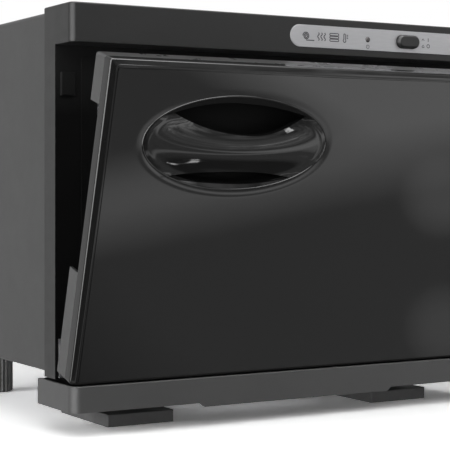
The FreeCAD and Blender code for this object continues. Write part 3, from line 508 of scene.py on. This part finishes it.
def build_door_front():
    """The glossy shell of the door: its wall, rounded edge, bevel, groove and face, down into the pull."""
    fillet_steps = 7
    rings = [door_border(DOOR_WALL, DOOR_SEAM), door_border(0.0, DOOR_SEAM)]
    slope = math.atan2(BEVEL_DEPTH, BEVEL_WIDTH)
    arc_depth = BEVEL_DEPTH + EDGE_R * (1.0 / math.cos(slope) - math.tan(slope))
    for k in range(fillet_steps + 1):
        turn = (math.pi / 2 - slope) * k / fillet_steps
        rings.append(door_border(EDGE_R * (1.0 - math.cos(turn)), arc_depth - EDGE_R * math.sin(turn)))
    rings += [
        door_border(BEVEL_WIDTH - 1.6, 0.51),
        door_border(BEVEL_WIDTH - 0.9, 0.2),
        door_border(BEVEL_WIDTH - 0.2, 0.05),
        door_border(BEVEL_WIDTH + 0.4, 0.0),
        door_border(GROOVE_FROM - 0.25, 0.0),
        door_border(GROOVE_FROM, 0.12),
        door_border(GROOVE_FROM + 0.2, GROOVE_DEPTH),
        door_border(GROOVE_TO - 0.2, GROOVE_DEPTH),
        door_border(GROOVE_TO, 0.12),
        door_border(GROOVE_TO + 0.25, 0.0),
        door_border(GROOVE_TO + 1.0, 0.0),
    ]
    size = len(rings[0])
    directions = [(x - PULL_X, z - PULL_Z) for x, _, z in rings[-1]]
    steps = 18
    margins = [SINK_WIDTH + 2.0] + [SINK_WIDTH * (1.0 - k / steps) for k in range(steps + 1)]
    for margin in margins:
        rings.append(around_pull(directions, margin, sink))
    for margin, depth in ((-1.4, SINK_DEPTH + 0.3), (-1.4, DOOR_WALL), (4.0, DOOR_WALL)):
        rings.append(around_pull(directions, margin, lambda _, uphill, level=depth: level))
    rings.append(door_border(DOOR_WALL, DOOR_WALL))
    verts = [point for ring in rings for point in ring]
    faces = ring_faces(len(rings), size)
    last = (len(rings) - 1) * size
    for i in range(size):
        j = (i + 1) % size
        faces.append((last + i, last + j, j, i))
    faces = [tuple(reversed(face)) for face in faces]
    shell = piece(
        "door_front_face", from_closed_door(verts), faces, materials["door_gloss"], "door", 24.0
    )
    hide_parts("door_front_shell")


# ---------------------------------------------------------------- oval pull


def lens_edges(x):
    """Edge heights of the finger openings at x: the lower one's low and high, then the upper one's."""
    heights = []
    for apex_x, apex_z, left_radius, right_radius, side in OPENING_EDGES:
        radius = left_radius if x < apex_x else right_radius
        reach = min(abs(x - apex_x), 0.98 * radius)
        heights.append(apex_z - side * (radius - math.sqrt(radius ** 2 - reach ** 2)))
    return heights


def pull_skin_depth(x, z):
    """Depth of the pull's skin: a long convex bar that melts into the band inside the lip."""
    u, v = (x - PULL_X) / PULL_HALF_LENGTH, (z - PULL_Z) / PULL_HALF_HEIGHT
    round_reach = max(1e-3, math.hypot(u, v))
    slope = math.hypot(u / PULL_HALF_LENGTH, v / PULL_HALF_HEIGHT) / round_reach
    inward = (1.0 - round_reach) / max(slope, 1e-4)
    band = -0.2 + 0.26 * inward
    curvature = max(0.0, 1.0 - u * u) ** 1.1 / BAR_CURVE_R
    crest_z = BAR_CREST_Z + BAR_CREST_RISE * u * u
    bar = -0.2 - BAR_BOW * (1.0 - u * u) + 0.5 * curvature * (z - crest_z) ** 2
    blend = min(3.0, 0.6 * inward + 0.1)
    meet = max(0.0, blend - abs(band - bar)) / blend
    return min(band, bar) - 0.25 * blend * meet * meet


def build_pull_body():
    """Rounded lip around the pull and the hollow behind it, its inner faces painted near black as shade."""
    count, lip_rings = 260, 9
    # Rings as margin outside the pull's outline and depth, from the door's face inwards.
    sections = [
        (0.3, 2.2), (0.3, 0.9), (0.2, 0.1), (-0.05, -0.25), (-0.35, -0.45), (-0.75, -0.52), (-1.15, -0.42),
        (-1.5, -0.2), (-1.75, 0.3), (-1.85, 1.6), (-3.0, 1.9), (-4.2, 2.6), (-4.6, 8.0), (-5.2, 14.0),
        (-7.0, 18.0), (-10.5, PULL_DEPTH), (-26.0, PULL_DEPTH),
    ]
    outside = [(-2.0, PULL_DEPTH + 2.0), (-2.0, 4.0)]
    verts = []
    for margin, depth in sections + outside:
        a, b = PULL_HALF_LENGTH + margin, PULL_HALF_HEIGHT + margin
        for i in range(count):
            turn = 2.0 * math.pi * i / count
            verts.append((PULL_X + a * math.cos(turn), depth, PULL_Z + b * math.sin(turn)))
    floor = len(sections) - 1
    faces = ring_faces(len(sections), count)
    faces.append(tuple(range((floor + 1) * count - 1, floor * count - 1, -1)))
    back, near = (floor + 1) * count, (floor + 2) * count
    for i in range(count):
        j = (i + 1) % count
        faces.append((back + i, back + j, near + j, near + i))
        faces.append((near + i, near + j, j, i))
    faces.append(tuple(range(back, back + count)))
    faces = [tuple(reversed(face)) for face in faces]
    body = piece(
        "pull_body", from_closed_door(verts), faces, materials["pull_gloss"], "door", 40.0
    )
    body.data.materials.append(hollow_painted_shade)
    # The faces inside the lip take the painted shade.
    for index, polygon in enumerate(body.data.polygons):
        if index >= lip_rings * count:
            polygon.material_index = 1
    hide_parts("handle_cup")


def build_pull_skin():
    """The glossy skin inside the lip, with a lens-shaped finger opening above and below the bar."""
    columns, rows, wall_rows = 220, 26, 5
    inset = -1.7
    a, b = PULL_HALF_LENGTH + inset, PULL_HALF_HEIGHT + inset
    verts, faces = [], []

    def strip(low_of, high_of, row_count):
        """A grid of skin between two height curves, column by column."""
        start = len(verts)
        for column in range(columns + 1):
            x = PULL_X + a * math.sin(math.pi * (column / columns - 0.5)) * 0.99995
            low, high = low_of(x), high_of(x)
            for row in range(row_count + 1):
                z = low + (high - low) * row / row_count
                verts.append((x, pull_skin_depth(x, z), z))
        for column in range(columns):
            for row in range(row_count):
                corner = start + column * (row_count + 1) + row
                over = corner + row_count + 1
                faces.append((corner, over, over + 1, corner + 1))

    def rim(x):
        return b * math.sqrt(max(0.0, 1.0 - ((x - PULL_X) / a) ** 2))

    def low_pair(x):
        low, high, _, _ = lens_edges(x)
        if high <= low:
            low = high = (low + high) / 2
        return max(low, PULL_Z - rim(x)), max(high, PULL_Z - rim(x))

    def up_pair(x):
        _, _, low, high = lens_edges(x)
        if high <= low:
            low = high = (low + high) / 2
        return min(low, PULL_Z + rim(x)), min(high, PULL_Z + rim(x))

    strip(lambda x: PULL_Z - rim(x), lambda x: low_pair(x)[0], 8)
    strip(lambda x: low_pair(x)[1], lambda x: up_pair(x)[0], rows)
    strip(lambda x: up_pair(x)[1], lambda x: PULL_Z + rim(x), 12)

    def opening_wall(low_index, high_index):
        """Rolled edge and short wall around one opening."""
        inside = [PULL_X + a * (k / 400.0 - 1.0) for k in range(801)]
        inside = [x for x in inside if lens_edges(x)[high_index] > lens_edges(x)[low_index]]
        left, right = inside[0], inside[-1]
        side = 90
        xs = [left + (right - left) * 0.5 * (1 - math.cos(math.pi * k / side)) for k in range(side + 1)]
        loop = [(x, lens_edges(x)[low_index]) for x in xs]
        loop += [(x, lens_edges(x)[high_index]) for x in reversed(xs[1:-1])]
        count = len(loop)
        middle_x = sum(x for x, _ in loop) / count
        middle_z = sum(z for _, z in loop) / count
        start = len(verts)
        for row in range(wall_rows + 1):
            t = row / wall_rows
            shrink = 0.5 * math.sin(min(1.0, 1.8 * t) * math.pi / 2)
            deeper = -0.02 + 5.0 * t ** 1.6
            for x, z in loop:
                reach = math.hypot((x - middle_x) * 0.35, z - middle_z) + 1e-6
                step = min(shrink, 0.4 * reach)
                nx, nz = (x - middle_x) * 0.35 / reach, (z - middle_z) / reach
                verts.append((x - nx * step, pull_skin_depth(x, z) + deeper, z - nz * step))
        faces.extend(ring_faces(wall_rows + 1, count, start))

    opening_wall(0, 1)
    opening_wall(2, 3)
    skin = piece(
        "pull_skin", from_closed_door(verts), faces, materials["pull_gloss"], "door", 55.0
    )
    weld(skin, 0.02)
    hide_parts("handle_cup")


# ---------------------------------------------------------------- printed marks on the control plate


def build_plate_marks():
    """Plain pictograms: a rolled towel, steam, a folded towel, a thermometer, and on and off signs."""
    plate_low, plate_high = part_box("control_plate")
    face = plate_low.y / MM
    skin = 0.06
    middle_z = (plate_low.z + plate_high.z) / 2 / MM
    lamp_low, lamp_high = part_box("power_lens")
    lamp_x = (lamp_low.x + lamp_high.x) / 2 / MM
    button_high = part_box("power_button")[1].x / MM
    verts, faces = [], []

    def stroke(points, width, closed=False):
        """A flat ribbon along a line of (x, z) points."""
        count = len(points)
        base = len(verts)
        for i, (x, z) in enumerate(points):
            before = points[(i - 1) % count] if closed or i > 0 else points[i]
            after = points[(i + 1) % count] if closed or i < count - 1 else points[i]
            dx, dz = after[0] - before[0], after[1] - before[1]
            length = math.hypot(dx, dz)
            nx, nz = -dz / length * width / 2, dx / length * width / 2
            for depth in (face - skin, face):
                verts.append((x + nx, depth, z + nz))
                verts.append((x - nx, depth, z - nz))
        last = count if closed else count - 1
        for i in range(last):
            a = base + 4 * i
            b = base + 4 * ((i + 1) % count)
            faces.append((a, b, b + 1, a + 1))
            faces.append((a + 2, a + 3, b + 3, b + 2))
            faces.append((a, a + 2, b + 2, b))
            faces.append((a + 1, b + 1, b + 3, a + 3))
        if not closed:
            end = base + 4 * (count - 1)
            faces.append((base, base + 1, base + 3, base + 2))
            faces.append((end, end + 2, end + 3, end + 1))

    def arc(cx, cz, radius, from_deg, to_deg, count=20):
        step = (to_deg - from_deg) / (count - 1)
        angles = [math.radians(from_deg + step * i) for i in range(count)]
        return [(cx + radius * math.cos(t), cz + radius * math.sin(t)) for t in angles]

    line = 0.95
    start_x = plate_low.x / MM + 13.0
    # rolled towel, seen from its end, with its loose edge
    roll = []
    for i in range(46):
        turn = 2.0 * math.pi * i / 18.0
        radius = 0.5 + 3.1 * i / 45.0
        roll.append((start_x + 4.0 + radius * math.cos(turn), middle_z + radius * math.sin(turn)))
    stroke(roll, line)
    stroke([(start_x + 4.0, middle_z - 3.8), (start_x + 13.0, middle_z - 3.8)], line)
    # steam
    for index in range(3):
        x0 = start_x + 17.5 + 3.4 * index
        wave = [(0.8 * math.sin(2.0 * math.pi * i / 16.0), 7.2 * i / 24.0 - 3.6) for i in range(25)]
        stroke([(x0 + dx, middle_z + dz) for dx, dz in wave], line)
    # folded towel: three rounded layers
    for index in range(3):
        z0 = middle_z - 2.6 + 2.6 * index
        x0 = start_x + 31.0
        layer = arc(x0, z0, 1.0, 90, 270, 10) + arc(x0 + 8.0, z0, 1.0, -90, 90, 10)
        stroke(layer, line * 0.85, closed=True)
    # thermometer
    x0 = start_x + 46.5
    bulb, tip = arc(x0, middle_z - 2.4, 1.5, 125, 415, 24), arc(x0, middle_z + 3.0, 0.85, 0, 180, 10)
    stroke(bulb + tip, line * 0.85, closed=True)
    for index in range(3):
        z0 = middle_z - 0.2 + 1.5 * index
        stroke([(x0 + 2.2, z0), (x0 + 4.0, z0)], line * 0.8)
    # power sign under the lamp
    sign_z = middle_z - 6.6
    stroke(arc(lamp_x, sign_z, 1.6, 125, 415, 22), 0.6)
    stroke([(lamp_x, sign_z + 0.2), (lamp_x, sign_z + 2.1)], 0.6)
    # pressed-in and out arrows with on and off signs beside the button
    x0 = button_high + 2.6
    for z0, flat in ((middle_z + 3.0, True), (middle_z - 2.9, False)):
        stroke([(x0, z0 - 0.9), (x0 + 1.4, z0 + 0.9), (x0 + 2.8, z0 - 0.9)], 0.75)
        if flat:
            stroke([(x0 + 7.6, z0 - 1.7), (x0 + 7.6, z0 + 1.7)], 0.8)
        else:
            stroke(arc(x0 + 7.6, z0, 1.6, 0, 340, 20), 0.75, closed=True)
            stroke([(x0 - 0.1, z0 - 1.5), (x0 + 2.9, z0 - 1.5)], 0.6)
    piece("plate_marks", verts, faces, plate_ink, "cabinet", 30.0)


build_door_front()
build_pull_body()
build_pull_skin()
build_plate_marks()


# ---------------------------------------------------------------- floor, light, camera


def build_floor():
    mesh = bpy.data.meshes.new("floor")
    reach = 14.0
    corners = [(-reach, -reach, 0), (reach, -reach, 0), (reach, reach, 0), (-reach, reach, 0)]
    mesh.from_pydata(corners, [], [(0, 1, 2, 3)])
    mat, tree, shader = new_material("floor_white", grey(0.80), 0.6)
    shader.inputs["Specular IOR Level"].default_value = 0.1
    # The camera sees the paper floor exposed to white; the object gets only a modest bounce from it.
    path = tree.nodes.new("ShaderNodeLightPath")
    seen = spread(tree, path.outputs["Is Camera Ray"], 0.40, 2.0, 0.0, 1.0)
    colour = tree.nodes.new("ShaderNodeCombineColor")
    for channel in ("Red", "Green", "Blue"):
        tree.links.new(seen, colour.inputs[channel])
    tree.links.new(colour.outputs["Color"], shader.inputs["Base Color"])
    glow = spread(tree, path.outputs["Is Camera Ray"], 0.0, 0.05, 0.0, 1.0)
    shader.inputs["Emission Color"].default_value = (1.0, 1.0, 1.0, 1.0)
    tree.links.new(glow, shader.inputs["Emission Strength"])
    mesh.materials.append(mat)
    floor = bpy.data.objects.new("floor", mesh)
    bpy.context.scene.collection.objects.link(floor)
    floor.visible_glossy = False


def soft_light(name, place, target, size, watts):
    data = bpy.data.lights.new(name, "AREA")
    data.shape = "RECTANGLE"
    data.size, data.size_y = size
    data.energy = watts
    lamp = bpy.data.objects.new(name, data)
    bpy.context.scene.collection.objects.link(lamp)
    lamp.location = place
    aim = Vector(target) - Vector(place)
    lamp.rotation_euler = aim.to_track_quat("-Z", "Y").to_euler()
    lamp.visible_glossy = False


def edge_mask(tree, direction, normal, low, high):
    """0 to 1 across a soft straight edge in the surroundings, by the angle to a plane's normal."""
    dot = tree.nodes.new("ShaderNodeVectorMath")
    dot.operation = "DOT_PRODUCT"
    dot.inputs[1].default_value = Vector(normal).normalized()
    tree.links.new(direction, dot.inputs[0])
    return spread(tree, dot.outputs["Value"], 0.0, 1.0, low, high)


def on_sphere(azimuth_deg, elevation_deg):
    """Unit vector; azimuth from the back (+Y) towards the right (+X)."""
    azimuth, elevation = math.radians(azimuth_deg), math.radians(elevation_deg)
    level = math.cos(elevation)
    return Vector((level * math.sin(azimuth), level * math.cos(azimuth), math.sin(elevation)))


def past_edge(tree, direction, first, second, softness, side=1):
    """0 to 1 across the great circle through two directions; side 1 keeps what lies above it."""
    normal = first.cross(second).normalized()
    if normal.z < 0.0:
        normal = -normal
    return edge_mask(tree, direction, normal * side, -softness, softness)


def window(tree, direction, first, second, half_width):
    """A narrow bright slot between two directions."""
    middle = (first + second).normalized()
    along = (second - first).normalized()
    across = middle.cross(along).normalized()
    half_length = (second - first).length / 2
    mask = edge_mask(tree, direction, middle, 0.0, 0.1)
    for axis, reach in ((along, half_length), (across, half_width)):
        for side in (1, -1):
            inside = edge_mask(tree, direction, axis * side, -reach * 1.1, -reach * 0.9)
            mask = combine(tree, "MULTIPLY", mask, inside)
    return mask


def build_world():
    """White surroundings for the camera, a soft ambient for matt surfaces, a studio for gloss."""
    world = bpy.data.worlds.new("studio")
    bpy.context.scene.world = world
    world.use_nodes = True
    tree = world.node_tree
    tree.nodes.clear()
    output = tree.nodes.new("ShaderNodeOutputWorld")
    coords = tree.nodes.new("ShaderNodeTexCoord")
    path = tree.nodes.new("ShaderNodeLightPath")
    direction = coords.outputs["Generated"]

    # The pale board low in front: lit above a slanting edge, behind a dark screen over its left part.
    lit = past_edge(tree, direction, on_sphere(149.4, -30.4), on_sphere(138.2, -24.6), 0.024)
    above_screen_edge = past_edge(tree, direction, on_sphere(150.1, -29.0), on_sphere(141.5, -24.7), 0.020)
    beside_screen = past_edge(tree, direction, on_sphere(143.8, -23.9), on_sphere(145.5, -23.5), 0.020, -1)
    screened = combine(tree, "MULTIPLY", above_screen_edge, beside_screen)
    board = combine(tree, "MULTIPLY", lit, combine(tree, "SUBTRACT", 1.0, screened))
    under_top = past_edge(tree, direction, on_sphere(151.0, -21.8), on_sphere(137.0, -18.8), 0.02, -1)
    in_front = edge_mask(tree, direction, (0.35, -1, 0), 0.35, 0.55)
    board = combine(tree, "MULTIPLY", combine(tree, "MULTIPLY", board, under_top), in_front)
    level = combine(tree, "MULTIPLY", board, 1.3)
    # A pale ceiling, side wall, back wall and floor, and a bright window on the left.
    for normal, low, high, strength in (
        ((0, -0.35, 1), 0.78, 0.90, 8.0),
        ((-1, 0.6, 0.15), 0.45, 0.85, 0.10),
        ((0.3, 1, 0.1), 0.05, 0.6, 0.45),
        ((0, 0, -1), 0.80, 0.90, 0.4),
        (on_sphere(240.0, 5.0), 0.743, 0.829, 6.0),
    ):
        wall = edge_mask(tree, direction, normal, low, high)
        level = combine(tree, "ADD", level, combine(tree, "MULTIPLY", wall, strength))
    # The far side of the room, paler to one side and lightly streaked, seen in the curved pull.
    streaks = spread(tree, noise_of(tree, direction, 16.0, 3.0, (1.0, 1.0, 0.7)), 0.35, 1.5, 0.42, 0.60)
    room = edge_mask(tree, direction, (0, 0, 1), -0.31, -0.27)
    paler = spread(tree, edge_mask(tree, direction, on_sphere(60.0, 0.0), 0.0, 0.125), 0.35, 1.35, 0.0, 1.0)
    room = combine(tree, "MULTIPLY", room, edge_mask(tree, direction, on_sphere(142.0, 0.0), 0.75, 0.88))
    room = combine(tree, "MULTIPLY", room, combine(tree, "MULTIPLY", paler, streaks))
    level = combine(tree, "ADD", level, room)
    sparks = spread(tree, noise_of(tree, direction, 60.0, 3.0, (1.0, 1.0, 1.4)), 0.0, 1.5, 0.58, 0.68)
    spark_zone = ((on_sphere(60.0, 0.0), 0.01, 0.02), ((0, 0, 1), -0.28, -0.24), ((0, 0, -1), 0.08, 0.12))
    for normal, low, high in spark_zone:
        sparks = combine(tree, "MULTIPLY", sparks, edge_mask(tree, direction, normal, low, high))
    level = combine(tree, "ADD", level, combine(tree, "MULTIPLY", sparks, in_front))
    # Its bright openings, partly covered: a window on the far side and a narrow slot low down.
    cover = spread(tree, noise_of(tree, direction, 45.0, 3.0, (1.0, 1.0, 1.0)), 0.4, 1.0, 0.46, 0.54)
    for first, second, half_width, strength in (
        ((152.4, 0.0), (154.2, 6.0), 0.016, 9.0),
        ((144.5, -39.5), (140.0, -45.5), 0.006, 6.0),
    ):
        glint = window(tree, direction, on_sphere(*first), on_sphere(*second), half_width)
        glint = combine(tree, "MULTIPLY", glint, cover)
        level = combine(tree, "ADD", level, combine(tree, "MULTIPLY", glint, strength))
    # Two faint glows towards the right of the foreground.
    for place, strength in (((136.0, -25.2), 0.55), ((133.7, -29.8), 0.40)):
        glow = edge_mask(tree, direction, on_sphere(*place), 0.99955, 0.99997)
        level = combine(tree, "ADD", level, combine(tree, "MULTIPLY", glow, strength))
    # The dim foreground that the flat of the door shows.
    ahead = edge_mask(tree, direction, on_sphere(140.0, -22.0), 0.945, 0.975)
    level = combine(tree, "ADD", level, combine(tree, "MULTIPLY", ahead, 0.33))
    level = combine(tree, "ADD", level, 0.10)

    gloss = tree.nodes.new("ShaderNodeBackground")
    tree.links.new(level, gloss.inputs["Strength"])
    ambient = tree.nodes.new("ShaderNodeBackground")
    ambient.inputs["Strength"].default_value = 0.06
    seen = tree.nodes.new("ShaderNodeBackground")
    for background in (gloss, ambient, seen):
        background.inputs["Color"].default_value = (1.0, 1.0, 1.0, 1.0)
    soft_or_gloss = tree.nodes.new("ShaderNodeMixShader")
    tree.links.new(path.outputs["Is Glossy Ray"], soft_or_gloss.inputs["Fac"])
    tree.links.new(ambient.outputs[0], soft_or_gloss.inputs[1])
    tree.links.new(gloss.outputs[0], soft_or_gloss.inputs[2])
    final = tree.nodes.new("ShaderNodeMixShader")
    tree.links.new(path.outputs["Is Camera Ray"], final.inputs["Fac"])
    tree.links.new(soft_or_gloss.outputs[0], final.inputs[1])
    tree.links.new(seen.outputs[0], final.inputs[2])
    tree.links.new(final.outputs[0], output.inputs["Surface"])


def build_camera():
    """Level camera to the left of the front, a little above mid height, with a long lens."""
    yaw_deg = 30.53
    data = bpy.data.cameras.new("camera")
    data.sensor_width = 36.0
    data.lens = 117.7
    data.shift_y = -0.0911
    camera = bpy.data.objects.new("camera", data)
    bpy.context.scene.collection.objects.link(camera)
    camera.location = (-0.733, bar_front - 1.1121, 0.2111)
    camera.rotation_euler = (math.radians(90.0), 0.0, math.radians(-yaw_deg))
    bpy.context.scene.camera = camera


build_floor()
soft_light("top_light", (-0.3, -1.3, 2.2), (0, 0, 0), (4.4, 3.6), 50.0)
soft_light("left_light", (-2.6, 0.1, 0.8), (0, 0.1, 0.2), (1.2, 1.2), 33.0)
soft_light("front_light", (0.3, -2.6, 0.4), (0, 0, 0.1), (3.0, 0.8), 2.0)
build_world()
build_camera()
bpy.context.scene.view_settings.view_transform = "Standard"
